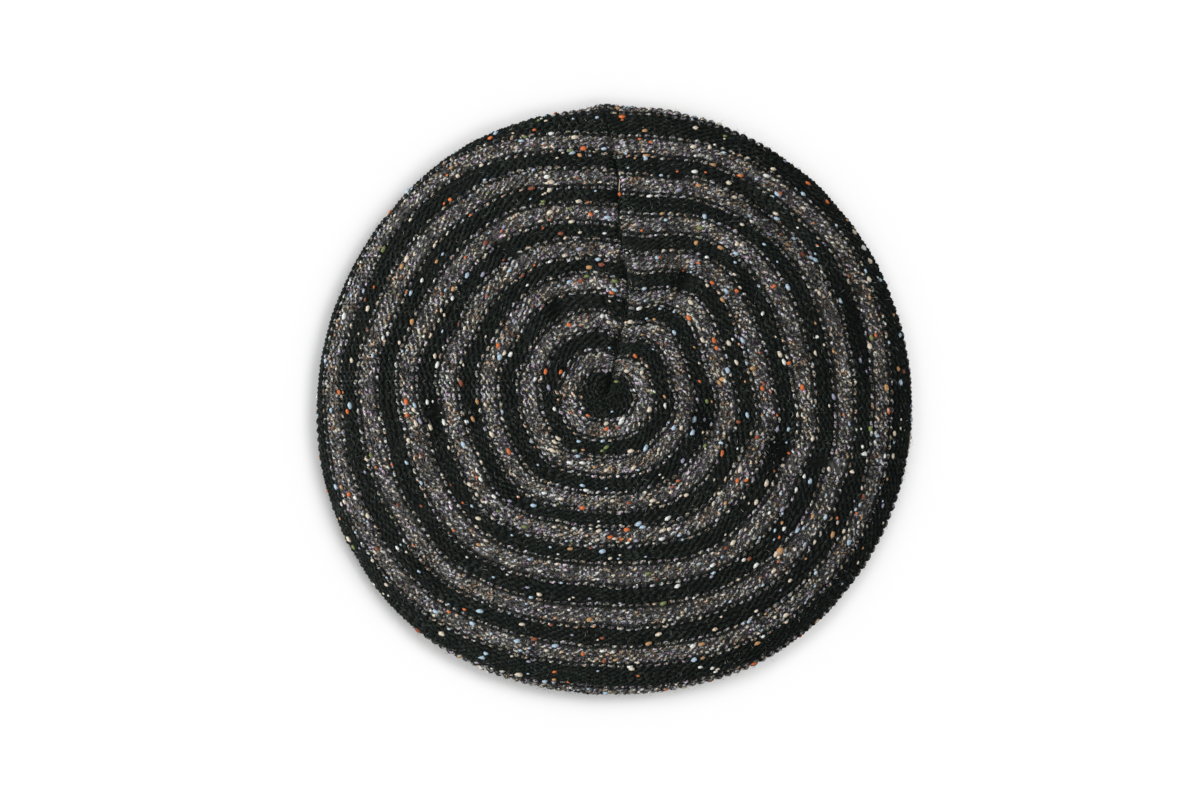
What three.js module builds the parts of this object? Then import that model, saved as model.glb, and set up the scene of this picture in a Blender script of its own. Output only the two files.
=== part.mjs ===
// A knitted slouch beret, laid down on its opening: a soft round crown whose top panel rolls
// over a fold and comes back underneath, and the ribbed band that grips the head.
// Units are millimetres, +Z is up, the table is z = 0, and the back seam lies towards +Y.
import * as THREE from "three";
import { mergeVertices } from "three/addons/utils/BufferGeometryUtils.js";

// ---- Driving dimensions ----
const CROWN_REACH = 140; // centre to fold, the same all round before the lobes below
const CROWN_HEIGHT = 34; // table to the middle of the top panel
const KNIT_THICKNESS = 3.2;
const FOLD_HEIGHT = 9.5; // where the rolled fold reaches furthest out
const HEAD_RADIUS = 82; // inside of the relaxed band
const BAND_HEIGHT = 14;
const BAND_THICKNESS = 3.4;
const RIB_DEPTH = 0.7;
const RIB_COUNT = 48;
const PIECE_GAP = 0.3; // air between the band and the crown

// ---- How finely the round shapes are cut ----
const CROWN_SPOKES = 72;
const SPOKES_PER_RIB = 4;
const TOP_STEPS = 19;
const UNDERSIDE_STEPS = 7;

// ---- Colours ----
const TWEED_GREY = 0x55504f;
const CHARCOAL = 0x1f2223;

// The top panel and the fold, from the middle outwards and down to the table.
const TOP_SECTION = [
  { place: "middle", reach: 0, height: CROWN_HEIGHT },
  { place: "inner panel", reach: 46, height: CROWN_HEIGHT - 0.8 },
  { place: "over the band", reach: HEAD_RADIUS + 4, height: CROWN_HEIGHT - 3.6 },
  { place: "slope", reach: 114, height: CROWN_HEIGHT - 8.6 },
  { place: "shoulder", reach: 131, height: FOLD_HEIGHT + 9 },
  { place: "fold", reach: CROWN_REACH, height: FOLD_HEIGHT },
  { place: "roll", reach: 138, height: 2.8 },
  { place: "outer rest", reach: 132, height: 0 },
];

// The underside, from the strip that lies on the table to the neck that sits on the band.
const UNDERSIDE_SECTION = [
  { place: "inner rest", reach: 124, height: 0 },
  { place: "lifting off", reach: 114, height: 2.2 },
  { place: "slack", reach: 101, height: 7.4 },
  { place: "outside the band", reach: HEAD_RADIUS + 9, height: BAND_HEIGHT - 1.6 },
  { place: "neck", reach: HEAD_RADIUS + 4.6, height: BAND_HEIGHT + PIECE_GAP },
];

// How far the fold reaches at each angle. Angles run clockwise from the back seam, in degrees.
const OUTLINE_LOBES = [
  { angle: 0, reach: 140.0 },
  { angle: 30, reach: 140.5 },
  { angle: 60, reach: 139.9 },
  { angle: 90, reach: 140.2 },
  { angle: 128, reach: 140.6 },
  { angle: 148, reach: 140.2 },
  { angle: 163, reach: 138.2 },
  { angle: 180, reach: 136.8 },
  { angle: 200, reach: 138.8 },
  { angle: 226, reach: 142.0 },
  { angle: 252, reach: 141.4 },
  { angle: 288, reach: 139.0 },
  { angle: 312, reach: 139.2 },
  { angle: 332, reach: 140.2 },
  { angle: 347, reach: 139.2 },
];

// Dents and creases of the slack top panel. Each is centred at an angle and a reach. "heading" turns
// its long way from straight outwards (0) to round along the rows (90), and "long" and "wide" are how
// far from its centre it fades.
const TOP_FOLDS = [
  { place: "seam", angle: 1, reach: 96, heading: 0, long: 48, wide: 7, depth: 1.4 },
  { place: "tuck by the seam", angle: 25, reach: 62, heading: 12, long: 22, wide: 7, depth: 3.2 },
  { place: "hollow behind right", angle: 58, reach: 119, heading: 90, long: 46, wide: 9, depth: 2.6 },
  { place: "long crease right", angle: 104, reach: 78, heading: 6, long: 34, wide: 8, depth: 3.6 },
  { place: "ridge below crease", angle: 124, reach: 84, heading: 0, long: 34, wide: 14, depth: -1.6 },
  { place: "front pull", angle: 182, reach: 100, heading: 90, long: 34, wide: 16, depth: 1.2 },
  { place: "front left corner", angle: 236, reach: 66, heading: 0, long: 18, wide: 7, depth: 2.0 },
  { place: "left crease", angle: 274, reach: 70, heading: 0, long: 30, wide: 8, depth: 1.8 },
  { place: "back left hollow", angle: 322, reach: 84, heading: 70, long: 24, wide: 8, depth: 2.0 },
];
const FOLDS_FADE_OVER = 8; // the creases die out over this much height above the fold

// ---- The knitted wedges ----
const WEDGE_COUNT = 8;
const WEDGE_SWELL = 0.5; // how far the middle of a wedge stands above its edges
const SWELL_FROM = 50; // the swell starts at this reach
const SWELL_FULL = 100; // and is full from this one

// ---- The outline's lobes ----
const LOBES_FULL = CROWN_REACH - 30; // the lobes grow from the head opening out to this reach

// ---- Reading the tables ----
const smooth = (from, to, value) => THREE.MathUtils.smoothstep(value, from, to);

// A smooth closed curve through a table's rows: the slope at a row is the mean slope to its neighbours.
function readRound(table, column, degrees) {
  const count = table.length;
  const turned = THREE.MathUtils.euclideanModulo(degrees, 360);
  let index = table.findLastIndex((row) => row.angle <= turned);
  if (index < 0) index = count - 1;
  const at = (step) => {
    const place = index + step;
    const turns = Math.floor(place / count);
    const row = table[place - turns * count];
    return { angle: row.angle + turns * 360, value: row[column] };
  };
  const [before, from, to, after] = [at(-1), at(0), at(1), at(2)];
  const span = to.angle - from.angle;
  const slopeFrom = ((to.value - before.value) / (to.angle - before.angle)) * span;
  const slopeTo = ((after.value - from.value) / (after.angle - from.angle)) * span;
  const t = THREE.MathUtils.euclideanModulo(turned - from.angle, 360) / span;
  const bend = (1 - t) * t;
  const ease = t * t * (3 - 2 * t);
  return (
    THREE.MathUtils.lerp(from.value, to.value, ease) +
    bend * ((1 - t) * slopeFrom - t * slopeTo)
  );
}

// How deep the folds press the top panel down at a point given by its angle and reach.
function foldDepth(degrees, reach) {
  let depth = 0;
  for (const fold of TOP_FOLDS) {
    const turn = THREE.MathUtils.degToRad(degrees - fold.angle);
    const outward = reach * Math.cos(turn) - fold.reach;
    const sideways = reach * Math.sin(turn);
    const heading = THREE.MathUtils.degToRad(fold.heading);
    const along = outward * Math.cos(heading) + sideways * Math.sin(heading);
    const across = sideways * Math.cos(heading) - outward * Math.sin(heading);
    depth += fold.depth * Math.exp(-((along / fold.long) ** 2) - (across / fold.wide) ** 2);
  }
  return depth;
}

// ---- Soft bodies from a half-section ----
// The half-section's points: x is the reach from the axis, y the height.
function spline(rows, steps) {
  const curve = new THREE.SplineCurve(rows.map((row) => new THREE.Vector2(row.reach, row.height)));
  return curve.getPoints(steps);
}

// Steps every point of an open line towards the inside of the fabric, square to the line.
function innerFace(outerFace, thickness) {
  const inner = outerFace.map((point, index) => {
    const before = outerFace[Math.max(index - 1, 0)];
    const after = outerFace[Math.min(index + 1, outerFace.length - 1)];
    const along = after.clone().sub(before).normalize();
    const inward = new THREE.Vector2(along.y, -along.x);
    return point.clone().addScaledVector(inward, thickness);
  });
  inner[0].x = 0;
  return inner.reverse();
}

// Turns a half-section round the axis, moves each point with shape(point, index, degrees), which
// returns the new reach and height, and welds the result into one closed body.
function turned(profile, spokes, shape) {
  const lathe = new THREE.LatheGeometry(profile, spokes);
  const position = lathe.getAttribute("position");
  for (let vertex = 0; vertex < position.count; vertex += 1) {
    const index = vertex % profile.length;
    const spoke = Math.floor(vertex / profile.length) % spokes;
    const degrees = (spoke / spokes) * 360;
    const { reach, height } = shape(profile[index], index, degrees);
    const angle = THREE.MathUtils.degToRad(degrees);
    position.setXYZ(vertex, reach * Math.sin(angle), reach * Math.cos(angle), height);
  }
  lathe.deleteAttribute("normal");
  lathe.deleteAttribute("uv");
  return withoutSlivers(mergeVertices(lathe, 1e-4));
}

// Drops the triangles that collapse to a line where the profile meets the axis.
function withoutSlivers(geometry) {
  const corners = geometry.getIndex().array;
  const kept = [];
  for (let start = 0; start < corners.length; start += 3) {
    const [a, b, c] = corners.slice(start, start + 3);
    if (a !== b && b !== c && c !== a) kept.push(a, b, c);
  }
  geometry.setIndex(kept);
  geometry.computeVertexNormals();
  return geometry;
}

// ---- The crown ----
function crown() {
  const top = spline(TOP_SECTION, TOP_STEPS);
  const underside = spline(UNDERSIDE_SECTION, UNDERSIDE_STEPS);
  const neckEdge = new THREE.Vector2(HEAD_RADIUS, BAND_HEIGHT + PIECE_GAP);
  const outer = [...top, ...underside, neckEdge];
  const profile = [...outer, ...innerFace(outer, KNIT_THICKNESS)];
  const isTopPanel = (index) => {
    const fromMiddle = Math.min(index, profile.length - 1 - index);
    return fromMiddle < top.length;
  };
  const geometry = turned(profile, CROWN_SPOKES, (point, index, degrees) => {
    const lobe = readRound(OUTLINE_LOBES, "reach", degrees) / CROWN_REACH;
    const slack = smooth(HEAD_RADIUS, LOBES_FULL, point.x);
    const reach = point.x * THREE.MathUtils.lerp(1, lobe, slack);
    const loose = isTopPanel(index) ? smooth(FOLD_HEIGHT, FOLD_HEIGHT + FOLDS_FADE_OVER, point.y) : 0;
    const wedge = -Math.cos(THREE.MathUtils.degToRad(degrees) * WEDGE_COUNT);
    const swell = WEDGE_SWELL * wedge * smooth(SWELL_FROM, SWELL_FULL, reach);
    const height = point.y + loose * (swell - foldDepth(degrees, reach));
    return { reach, height };
  });
  return named("crown", geometry, TWEED_GREY);
}

// ---- The band ----
function band() {
  const outer = HEAD_RADIUS + BAND_THICKNESS;
  const edge = 0.8; // rounding of the band's two rims
  const profile = [
    new THREE.Vector2(HEAD_RADIUS + edge, BAND_HEIGHT),
    new THREE.Vector2(outer - edge, BAND_HEIGHT),
    new THREE.Vector2(outer, BAND_HEIGHT - edge),
    new THREE.Vector2(outer, edge),
    new THREE.Vector2(outer - edge, 0),
    new THREE.Vector2(HEAD_RADIUS + edge, 0),
    new THREE.Vector2(HEAD_RADIUS, edge),
    new THREE.Vector2(HEAD_RADIUS, BAND_HEIGHT - edge),
    new THREE.Vector2(HEAD_RADIUS + edge, BAND_HEIGHT),
  ];
  const geometry = turned(profile, RIB_COUNT * SPOKES_PER_RIB, (point, _index, degrees) => {
    const rib = Math.cos(THREE.MathUtils.degToRad(degrees) * RIB_COUNT);
    return { reach: point.x + (RIB_DEPTH / 2) * rib, height: point.y };
  });
  return named("band", geometry, CHARCOAL);
}

function named(name, geometry, color) {
  const material = new THREE.MeshStandardMaterial({ color, roughness: 0.95, metalness: 0 });
  const mesh = new THREE.Mesh(geometry, material);
  mesh.name = name;
  return mesh;
}

// ---- The beret, its box centred over the origin ----
const beret = new THREE.Group();
beret.add(crown(), band());
const middle = new THREE.Box3().setFromObject(beret).getCenter(new THREE.Vector3());
beret.position.set(-middle.x, -middle.y, 0);

export default beret;
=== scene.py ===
# %% [markdown]
# # A striped tweed beret, stitch by stitch
# A slouch beret is knitted from wool and laid on a table on its opening. The soft round crown shows
# the bumpy "purl" side of the knitting, four rows of grey tweed and four of charcoal by turns.
# A smooth body with knitting painted on would be quick to make, but wool is judged by its bumps,
# its gaps and the shadows between them. So every row here is one long yarn that runs through its
# own loops.
#
# The CAD model is the frame that everything hangs on. It gives the crown's outer face and the band.

# %% Load the frame and note its size
import math

import bmesh
import bpy
import numpy as np
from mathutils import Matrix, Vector
from mathutils.bvhtree import BVHTree


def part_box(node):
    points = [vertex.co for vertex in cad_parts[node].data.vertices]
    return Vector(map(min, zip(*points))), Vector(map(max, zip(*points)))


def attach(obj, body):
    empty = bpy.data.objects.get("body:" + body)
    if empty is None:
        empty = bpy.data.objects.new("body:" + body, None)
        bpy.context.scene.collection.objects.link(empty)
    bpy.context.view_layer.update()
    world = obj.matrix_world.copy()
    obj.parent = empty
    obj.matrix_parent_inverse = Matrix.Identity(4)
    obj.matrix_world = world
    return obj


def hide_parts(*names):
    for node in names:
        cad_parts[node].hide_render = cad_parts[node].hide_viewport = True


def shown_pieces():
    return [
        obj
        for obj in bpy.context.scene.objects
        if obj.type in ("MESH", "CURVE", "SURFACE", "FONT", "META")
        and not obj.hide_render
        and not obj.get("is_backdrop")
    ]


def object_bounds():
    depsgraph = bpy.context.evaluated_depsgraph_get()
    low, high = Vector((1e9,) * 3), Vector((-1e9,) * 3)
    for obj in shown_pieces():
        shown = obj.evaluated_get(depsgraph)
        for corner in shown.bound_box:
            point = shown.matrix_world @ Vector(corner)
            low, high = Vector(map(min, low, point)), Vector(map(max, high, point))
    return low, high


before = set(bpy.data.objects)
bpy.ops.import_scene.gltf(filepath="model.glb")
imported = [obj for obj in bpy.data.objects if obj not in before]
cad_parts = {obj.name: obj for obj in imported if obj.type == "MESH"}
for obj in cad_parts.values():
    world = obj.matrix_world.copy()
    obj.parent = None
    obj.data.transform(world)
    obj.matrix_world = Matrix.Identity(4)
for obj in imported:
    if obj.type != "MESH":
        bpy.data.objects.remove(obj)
cad_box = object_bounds()
MM = 0.001  # lengths below are millimetres and become metres only when a mesh is made
TURN = 2 * math.pi
chance = np.random.default_rng(1907)  # one seeded source, so that each run gives the same beret
print("CAD box in mm:", [[round(c / MM, 1) for c in corner] for corner in cad_box])

# %% [markdown]
# ## The crown's outer face
# A knitter counts from the middle of the crown outwards, so the cloth needs its own map: an angle
# round the middle, and a distance walked over the cloth. The map could be one formula, but that
# would drift away from the frame. Rays find the walk on the frame itself. They come straight down
# for the top panel, from all sides for the fold and straight up for the underside, as far as the
# neck, where the band begins. The middle of the knitting lies a little left of and behind the
# middle of the outline, because the crown was laid down with more slack on one side.

# %% Where the knitting starts and where it ends
band_low, band_high = (np.array(corner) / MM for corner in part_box("band"))
head_centre = (band_low + band_high)[:2] / 2
knit_centre = head_centre + np.array([-3.8, 3.1])
NECK_RADIUS = 86.0  # the last crown row sits on the band's outer edge


def heading(angle):
    """Unit vectors for angles that run clockwise from the back of the beret."""
    return np.stack([np.sin(angle), np.cos(angle)], axis=-1)


def reach_of_neck(way):
    """How far from the knit's centre a heading meets the neck's circle."""
    offset = knit_centre - head_centre
    half = way @ offset
    return -half + math.sqrt(half**2 - offset @ offset + NECK_RADIUS**2)


print("knit centre:", knit_centre.round(1))
print("from there to the neck on the right:", round(reach_of_neck(heading(TURN / 4)), 1), "mm")

# %% Walk from the centre over the fold to the neck
crown_tree = BVHTree.FromObject(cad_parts["crown"], bpy.context.evaluated_depsgraph_get())
FOLD_HEIGHT = 9.5  # the fold reaches furthest out at this height
FOLD_CORE = 14.0  # the fold is read round a point this far inside its edge
FAR_OUT, FAR_UP, FAR_DOWN, OFF_FOLD = 300, 200, -50, 100  # where rays start, clear of the beret
TOP_STEP = 2.5
FOLD_STEP = 7.5  # degrees
UNDERSIDE_POINTS = 20


def ray(start, towards):
    """Where a ray meets the crown, in mm. The ray itself works in metres."""
    place = crown_tree.ray_cast(Vector(start) * MM, Vector(towards))[0]
    return np.array(place) / MM


def walk(angle):
    """The crown's face on one heading, as rows of (reach from the knit's centre, height)."""
    way = heading(angle)

    def at(reach, height):
        return (*(knit_centre + way * reach), height)

    edge = ray(at(FAR_OUT, FOLD_HEIGHT), (*-way, 0))
    core = np.linalg.norm(edge[:2] - knit_centre) - FOLD_CORE
    top = [ray(at(reach, FAR_UP), (0, 0, -1)) for reach in np.arange(0, core, TOP_STEP)]
    fold = []
    for lean in np.radians(np.arange(90, -91, -FOLD_STEP)):
        outward = np.array([*(way * math.cos(lean)), math.sin(lean)])
        fold.append(ray(np.array(at(core, FOLD_HEIGHT)) + OFF_FOLD * outward, -outward))
    reaches = np.linspace(core - 2, reach_of_neck(way), UNDERSIDE_POINTS)
    underside = [ray(at(reach, FAR_DOWN), (0, 0, 1)) for reach in reaches]
    points = np.array(top + fold + underside)
    return np.column_stack([(points[:, :2] - knit_centre) @ way, points[:, 2]])


middle_height = ray((*knit_centre, FAR_UP), (0, 0, -1))[2]
print(f"at the knit's centre the crown is {middle_height:.1f} mm high")

# %% Walk on all headings
HEADINGS = 240
PLACES = 240  # even steps on each walk


def distance_walked(line):
    """How far along a line each of its points lies."""
    return np.concatenate([[0], np.cumsum(np.linalg.norm(np.diff(line, axis=0), axis=1))])


heading_angles = np.arange(HEADINGS) * TURN / HEADINGS
face = np.empty((HEADINGS, PLACES + 1, 2))  # reach and height, by heading and place
face_length = np.empty(HEADINGS)
for index, angle in enumerate(heading_angles):
    line = walk(angle)
    walked = distance_walked(line)
    face_length[index] = walked[-1]
    even = np.linspace(0, walked[-1], PLACES + 1)
    face[index] = np.column_stack([np.interp(even, walked, line[:, side]) for side in (0, 1)])
print(f"walk from the centre to the band: {face_length.min():.1f} to {face_length.max():.1f} mm")

# %% [markdown]
# The CAD crown has flat facets, which cloth has not. A finer CAD model would only make them
# smaller, while a running mean along and round the cloth takes them out. Reach and height are
# averaged, and not x and y, so the outline doesn't shrink.

# %% Take out the facets
def running_mean(values, half, axis, closed):
    """A soft running mean. A closed axis runs on past its end; an open one is mirrored there."""
    weights = np.hanning(2 * half + 3)[1:-1]
    pad = [(0, 0)] * values.ndim
    pad[axis] = (half, half)
    ends = {"mode": "wrap"} if closed else {"mode": "reflect", "reflect_type": "odd"}
    padded = np.pad(values, pad, **ends)
    return np.apply_along_axis(np.convolve, axis, padded, weights / weights.sum(), mode="valid")


face = running_mean(face, half=5, axis=0, closed=True)
face = running_mean(face, half=2, axis=1, closed=False)
face_length = running_mean(face_length, half=5, axis=0, closed=True)
print(f"smooth crown: {face[..., 1].max():.2f} mm high")

# %% [markdown]
# ## The folds that the slack cloth makes
# The frame has the wide, shallow dents. Real knitting also pinches into narrow tucks, where a
# stripe runs out of sight and comes up again, and it never lies quite even between them. A cloth
# simulation would pinch it in other places, so the tucks are listed with their place and depth,
# and the lumps between them are left to chance. They belong to the look, and are pressed into the
# map here, before any yarn is laid on it.

# %% A chart of the tucks
TUCKS = [
    # place, angle and reach of its middle, heading (0 runs outwards, 90 runs along the rows),
    # then how far it fades along and across, and its depth
    ("inner pit on the right", 103, 49, 10, 11, 5.6, 7.2),
    ("crease on the right", 105, 72, 3, 26, 2.4, 2.6),
    ("outer pit on the right", 107, 85, 60, 10, 5.4, 7.2),
    ("end of the right crease", 107, 106, 0, 9, 3.8, 3.6),
    ("tuck right of the seam", 35, 58, -15, 13, 3.4, 5.0),
    ("its outer hook", 28, 70, -70, 9, 3.2, 4.4),
    ("valley behind right", 47, 112, 88, 30, 5.4, 8.0),
    ("its end at the seam", 22, 107, 97, 14, 3.4, 3.6),
    ("its end on the right", 75, 121, 92, 18, 3.8, 4.2),
    ("pit left of the seam", 343, 57, 80, 10, 4.4, 5.4),
    ("its inner end", 331, 47, 10, 8, 3.4, 4.2),
    ("crease behind left", 325, 88, -15, 13, 3.4, 4.2),
    ("dent on the left", 263, 78, 90, 10, 3.8, 4.0),
    ("inner dent on the left", 263, 60, 100, 8, 3.6, 3.6),
    ("inner dent in front left", 226, 60, 90, 9, 3.6, 3.6),
    ("outer dent in front left", 223, 114, 90, 10, 3.8, 4.0),
    ("dent on the right", 84, 107, 90, 9, 4.0, 4.0),
]
print("tucks:", len(TUCKS), "- the deepest, in mm:", max(tuck[-1] for tuck in TUCKS))

# %% How the tucks and the lumps bend the cloth
LUMPS = 220
LUMP_HEIGHT = 0.75
LUMP_WIDTHS = (4.5, 9.0)
LUMP_REACH = 132  # the lumps lie inside this circle


def hill(distance, width):
    """A soft hill, 1 high, that fades out over a width."""
    return np.exp(-((distance / width) ** 2))


def pressed(angle, reach):
    """How deep the tucks press the cloth down at an angle and a reach."""
    depth = np.zeros(np.broadcast(angle, reach).shape)
    for _place, middle, middle_reach, turned, long, wide, deep in TUCKS:
        turn = angle - math.radians(middle)
        outward = reach * np.cos(turn) - middle_reach
        sideways = reach * np.sin(turn)
        lean = math.radians(turned)
        along = outward * math.cos(lean) + sideways * math.sin(lean)
        across = sideways * math.cos(lean) - outward * math.sin(lean)
        depth += deep * hill(along, long) * hill(across, wide)
    return depth


def lumpy(angle, reach):
    """Soft random rises and hollows."""
    height = np.zeros(reach.shape)
    right, back = reach * np.sin(angle), reach * np.cos(angle)
    for _ in range(LUMPS):
        turned = TURN * chance.random()
        away = LUMP_REACH * math.sqrt(chance.random())
        wide = chance.uniform(*LUMP_WIDTHS)
        beside = np.hypot(right - away * math.sin(turned), back - away * math.cos(turned))
        height += LUMP_HEIGHT * chance.normal() * hill(beside, wide)
    return height


print(f"at half its width a hill has {hill(0.5, 1.0):.2f} of its height left")

# %% Press them into the cloth
FOLD_SHARES = (0.58, 0.68)  # tucks and lumps die out on this stretch of the walk, over the fold


def smooth_step(low, high, value):
    """0 up to low, 1 from high on, and a soft step between."""
    t = np.clip((value - low) / (high - low), 0, 1)
    return t * t * (3 - 2 * t)


angles, reaches = heading_angles[:, None], face[..., 0]
on_top = 1 - smooth_step(*FOLD_SHARES, np.linspace(0, 1, PLACES + 1))
moved = (lumpy(angles, reaches) - pressed(angles, reaches)) * on_top
face[..., 1] = np.minimum(face[..., 1] + moved, cad_box[1][2] / MM)
print(f"{len(TUCKS)} tucks, up to {-moved.min():.1f} mm deep, and {LUMPS} lumps")

# %% The map itself: angle and distance in, point and outward direction out
def unit(vectors):
    """The same directions, one long."""
    return vectors / np.linalg.norm(vectors, axis=-1, keepdims=True)


flat_points = knit_centre + heading(angles) * face[..., :1]
face_points = np.concatenate([flat_points, face[..., 1:]], axis=-1)
round_step = np.roll(face_points, -1, axis=0) - np.roll(face_points, 1, axis=0)
face_normals = np.cross(round_step, np.gradient(face_points, axis=1))
face_normals[:, 0] = (0, 0, 1)  # all walks start at one point, which has no way round
face_normals = unit(face_normals)


def between(grid, angle, share):
    """Reads a grid of headings by places between its points."""
    turn = (angle / TURN) % 1 * HEADINGS
    before = np.floor(turn).astype(int) % HEADINGS
    after = (before + 1) % HEADINGS
    place = np.clip(share, 0, 1) * PLACES
    inner = np.minimum(np.floor(place).astype(int), PLACES - 1)
    right = (turn - np.floor(turn))[..., None]
    out = (place - inner)[..., None]
    near = grid[before, inner] * (1 - right) + grid[after, inner] * right
    far = grid[before, inner + 1] * (1 - right) + grid[after, inner + 1] * right
    return near * (1 - out) + far * out


def length_on(angle):
    """How long the walk is on a heading."""
    return np.interp(angle, heading_angles, face_length, period=TURN)


def on_cloth(angle, distance):
    """Point and outward direction of the crown's face."""
    share = distance / length_on(angle)
    return between(face_points, angle, share), between(face_normals, angle, share)


print(f"the mapped face is {np.ptp(face_points[..., 2]):.2f} mm high")

# %% [markdown]
# ## Rows of knitting
# The rows are worked in eight wedges and then sewn together along one seam, at the back. So a row
# doesn't run round and round: it starts on one side of the seam and ends on the other, and the
# stripes don't quite meet there. The rows are 2.3 mm apart on the cloth. Where the cloth was pulled
# or has slack, they wander from their even places. Even rings would look machine-made, and noise
# alone would look careless, so one short table says by how much, and chance adds a little.

# %% Rows and stripes
ROW_PITCH = 2.3
FIRST_ROW = 2.4  # distance of the innermost row from the centre
STRIPE_ROWS = 4
MIDDLE_ROWS = 5  # the charcoal middle has one more row than a stripe
RIM_STRIPE = 14  # counted from the middle, this charcoal stripe rolls over the fold
RIM_ROWS = 6
ROWS = int((face_length.mean() - FIRST_ROW) / ROW_PITCH)

stripe_sizes = [MIDDLE_ROWS] + [STRIPE_ROWS] * ROWS
stripe_sizes[RIM_STRIPE] = RIM_ROWS
stripe_of_row = np.repeat(np.arange(len(stripe_sizes)), stripe_sizes)[:ROWS]
print(ROWS, "rows from the centre to the neck, in", stripe_of_row[-1] + 1, "stripes")

# %% Where the rows wander, and where the seam lies
# How far outwards (mm) the rows lie from their even places, by degrees clockwise from the seam.
# The four columns are rings at these distances from the centre, which itself stays in place.
WANDER_RINGS = (0, 46, 82, 119, 146)
WANDER = [
    (0, -6.0, -10.0, -9.5, -9.5),
    (10, -4.5, -9.5, -8.5, -7.5),
    (22, 0.5, -2.5, -3.5, -3.8),
    (40, 2.5, 3.5, -0.5, 2.5),
    (55, 1.0, 1.5, 3.5, 4.5),
    (80, -1.0, -0.5, 2.0, 4.5),
    (90, 1.5, 1.0, 1.5, 4.5),
    (100, 2.0, 4.5, 3.0, 5.0),
    (110, 1.0, 0.5, 4.0, 5.5),
    (120, 0.0, 0.0, 5.5, 6.0),
    (145, -1.0, -1.0, 1.5, 3.0),
    (165, -4.0, -7.0, -3.5, -2.5),
    (182, -4.0, -9.5, -6.0, -6.6),
    (200, -3.5, -7.0, -4.5, -3.0),
    (225, 0.5, -0.5, 2.0, 3.0),
    (245, -1.0, -2.0, 1.5, 5.5),
    (260, 0.0, -1.5, 2.0, 5.5),
    (270, -0.5, 2.0, 3.0, 5.5),
    (280, 1.5, 2.0, 3.0, 6.0),
    (295, 0.0, -0.5, 2.0, 7.5),
    (315, 2.0, 0.5, 3.5, 10.0),
    (332, 1.5, 0.0, 0.0, 6.5),
    (350, -1.5, -4.5, -6.5, -5.2),
    (360, -5.0, -6.0, -8.5, -9.0),
]
# The seam: distance from the centre, and degrees clockwise from straight back.
SEAM_LINE = [
    (0, 15), (30, 12), (47, 12), (58, 10), (76, 5.5), (95, 3.6),
    (110, 2.9), (118, 2.1), (126, 1.3), (134, 0.2), (146, -0.3),
]
wander_degrees, *wander_columns = zip(*WANDER)
seam_distances, seam_degrees = zip(*SEAM_LINE)
print(f"rows wander from {np.min(wander_columns):.1f} to {np.max(wander_columns):.1f} mm")


# %% Smooth curves through both tables
def curve_through(places, values, at):
    """A smooth curve through points: each point's slope is taken from its two neighbours."""
    places, values = np.asarray(places, float), np.asarray(values, float)
    slopes = np.gradient(values, places)
    index = np.clip(np.searchsorted(places, at, side="right") - 1, 0, len(places) - 2)
    span = places[index + 1] - places[index]
    t = np.clip((at - places[index]) / span, 0, 1)
    rise = t * t * (3 - 2 * t)
    bend = t * (1 - t) * span
    level = values[index] * (1 - rise) + values[index + 1] * rise
    return level + bend * ((1 - t) * slopes[index] - t * slopes[index + 1])


def wander(turned, distance):
    """How far a row lies from its even place, at an angle from the seam (radians)."""
    degrees = np.degrees(turned)
    rings = [curve_through(wander_degrees, column, degrees) for column in wander_columns]
    rings.insert(0, np.zeros_like(turned))
    place = np.interp(distance, WANDER_RINGS, np.arange(len(WANDER_RINGS)))
    ring = int(min(place, len(WANDER_RINGS) - 2))
    return rings[ring] + (place - ring) * (rings[ring + 1] - rings[ring])


def seam_angle(distance):
    """The seam's heading at a distance from the centre."""
    known = np.minimum(distance, seam_distances[-1])
    return np.radians(curve_through(seam_distances, seam_degrees, known))


print(f"at the fold the seam lies {math.degrees(seam_angle(130.0)):.1f} degrees off straight back")

# %% What chance adds to the rows
CHANCE_PLACES = 720
chance_angles = np.arange(CHANCE_PLACES) * TURN / CHANCE_PLACES


def chance_map(half_rows, half_angle):
    """Soft random hills over the rows (first index) and round the beret (second)."""
    hills = chance.normal(size=(ROWS, CHANCE_PLACES))
    hills = running_mean(hills, half_rows, axis=0, closed=False)
    hills = running_mean(hills, half_angle, axis=1, closed=True)
    return hills / hills.std()


def chance_at(hills, row, turned):
    """The hills on one row, at an angle from the seam."""
    return np.interp(turned, chance_angles, hills[row], period=TURN)


drift = chance_map(4, 14)  # neighbouring rows shift together
jostle = chance_map(1, 4)  # each row shifts a little by itself
loft = chance_map(3, 8)  # stitches stand higher here and lower there
DRIFT, JOSTLE, LOFT = 0.3, 0.22, 0.16  # mm
most_drift = DRIFT * np.percentile(np.abs(drift), 95)
print(f"rows drift together by up to {most_drift:.1f} mm in most places")

# %% Distance of each row
EVEN_SHARES = (0.7, 0.97)  # between these shares of the rows the table's say dies out
SEAM_LEAN_REACH = math.radians(70)


def even_distance(row):
    """Distance of a row from the centre if nothing pulled at it."""
    return FIRST_ROW + row * ROW_PITCH


def row_distance(row, turned, angle):
    """Distance of a row from the centre. Under the fold the rows even out to meet the neck."""
    even = even_distance(row)
    shift = DRIFT * chance_at(drift, row, turned) + JOSTLE * chance_at(jostle, row, turned)
    from_centre = even + wander(turned, even) + shift
    from_neck = length_on(angle) - (ROWS - row - 0.5) * ROW_PITCH
    evened = smooth_step(*EVEN_SHARES, row / ROWS)
    return from_centre * (1 - evened) + from_neck * evened


def angle_from_seam(turned, distance):
    """The heading at an angle from the seam. The seam's lean dies out on both sides of it."""
    near = np.minimum(turned, TURN - turned)
    return turned + seam_angle(distance) * (1 - smooth_step(0, SEAM_LEAN_REACH, near))


rim_row = row_distance(60, heading_angles, heading_angles)
print(f"row 60 lies {rim_row.min():.1f} to {rim_row.max():.1f} mm from the centre")

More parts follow.
